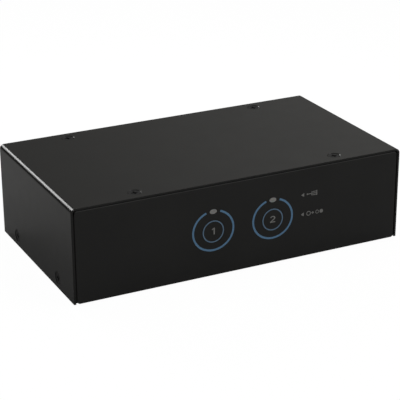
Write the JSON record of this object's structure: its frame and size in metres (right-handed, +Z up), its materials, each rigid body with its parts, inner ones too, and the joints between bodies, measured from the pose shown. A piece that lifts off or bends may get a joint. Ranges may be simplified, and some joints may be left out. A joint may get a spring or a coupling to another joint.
{
  "type": "kvm switch",
  "caption": "Low black steel box with a folded cover, a smooth front film with round push keys under oval lamps, and rows of video, USB, audio and power sockets on the rear wall.",
  "frame": {"origin": "centre of the bottom of the whole part's box, from the front film to the jackscrew tips, on the plane the rubber feet rest on; the case's own centre is 2.15 mm in front of it", "axes": "+X to the right seen from the front, +Y to the rear sockets, +Z up; the film with the keys faces -Y"},
  "size_m": [0.164, 0.0944, 0.0456],
  "materials": {
    "cover_paint": "fine satin black powder coat",
    "chassis_paint": "fine satin black powder coat",
    "front_film": "smooth satin dark film",
    "lamp_window": "milky diffusing plastic",
    "black_screw": "blackened steel",
    "foot_rubber": "matt rubber",
    "circuit_board": "green solder mask",
    "plated_steel": "nickel plated",
    "gold_contact": "gold flashed",
    "black_plastic": "moulded black plastic",
    "white_plastic": "moulded white plastic",
    "chip_resin": "moulded resin",
    "lamp_resin": "clear lamp resin",
    "can_aluminium": "drawn can",
    "green_plastic": "moulded lime green plastic",
    "pink_plastic": "moulded pink plastic"
  },
  "bodies": {
    "case": {"beeper": "black_plastic", "capacitors": "can_aluminium", "chassis": "chassis_paint", "coils": "chip_resin", "control_chip": "chip_resin", "control_chip_leads": "plated_steel", "crystals": "plated_steel", "front_board": "circuit_board", "front_board_screws": "plated_steel", "front_header_body": "black_plastic", "front_header_pins": "gold_contact", "front_overlay": "front_film", "front_posts": "plated_steel", "hub_chip": "chip_resin", "hub_chip_leads": "plated_steel", "hub_lamps": "lamp_resin", "io_board": "circuit_board", "io_board_screws": "plated_steel", "jackscrews": "plated_steel", "lamp_lenses": "lamp_window", "link_blocks": "black_plastic", "link_pins": "gold_contact", "low_posts": "plated_steel", "main_board": "circuit_board", "main_board_screws": "plated_steel", "microphone_jacks": "pink_plastic", "power_pin": "plated_steel", "power_socket": "black_plastic", "rubber_feet": "foot_rubber", "select_lamps": "lamp_resin", "side_screws": "black_screw", "snap_dome_1": "plated_steel", "snap_dome_2": "plated_steel", "speaker_jacks": "green_plastic", "tact_covers": "plated_steel", "tact_housings": "black_plastic", "tact_terminals": "plated_steel", "tall_posts": "plated_steel", "top_cover": "cover_paint", "top_screws": "black_screw", "usb_a_contacts": "gold_contact", "usb_a_shells": "plated_steel", "usb_a_tongues": "white_plastic", "usb_b_contacts": "gold_contact", "usb_b_inserts": "black_plastic", "usb_b_shells": "plated_steel", "video_insulators": "white_plastic", "video_shells": "plated_steel", "video_switch_chip": "chip_resin", "video_switch_chip_leads": "plated_steel"},
    "key_1": {"key_cap_1": "front_film", "tact_plunger_1": "black_plastic"},
    "key_2": {"key_cap_2": "front_film", "tact_plunger_2": "black_plastic"}
  },
  "joints": [
    {"name": "key_1_press", "type": "slide", "parent": "case", "child": "key_1", "axis": [0, 1, 0], "range_m": [0, 0.00035], "stiffness_N_per_m": 200, "deforming": ["snap_dome_1"]},
    {"name": "key_2_press", "type": "slide", "parent": "case", "child": "key_2", "axis": [0, 1, 0], "range_m": [0, 0.00035], "stiffness_N_per_m": 200, "deforming": ["snap_dome_2"]}
  ]
}
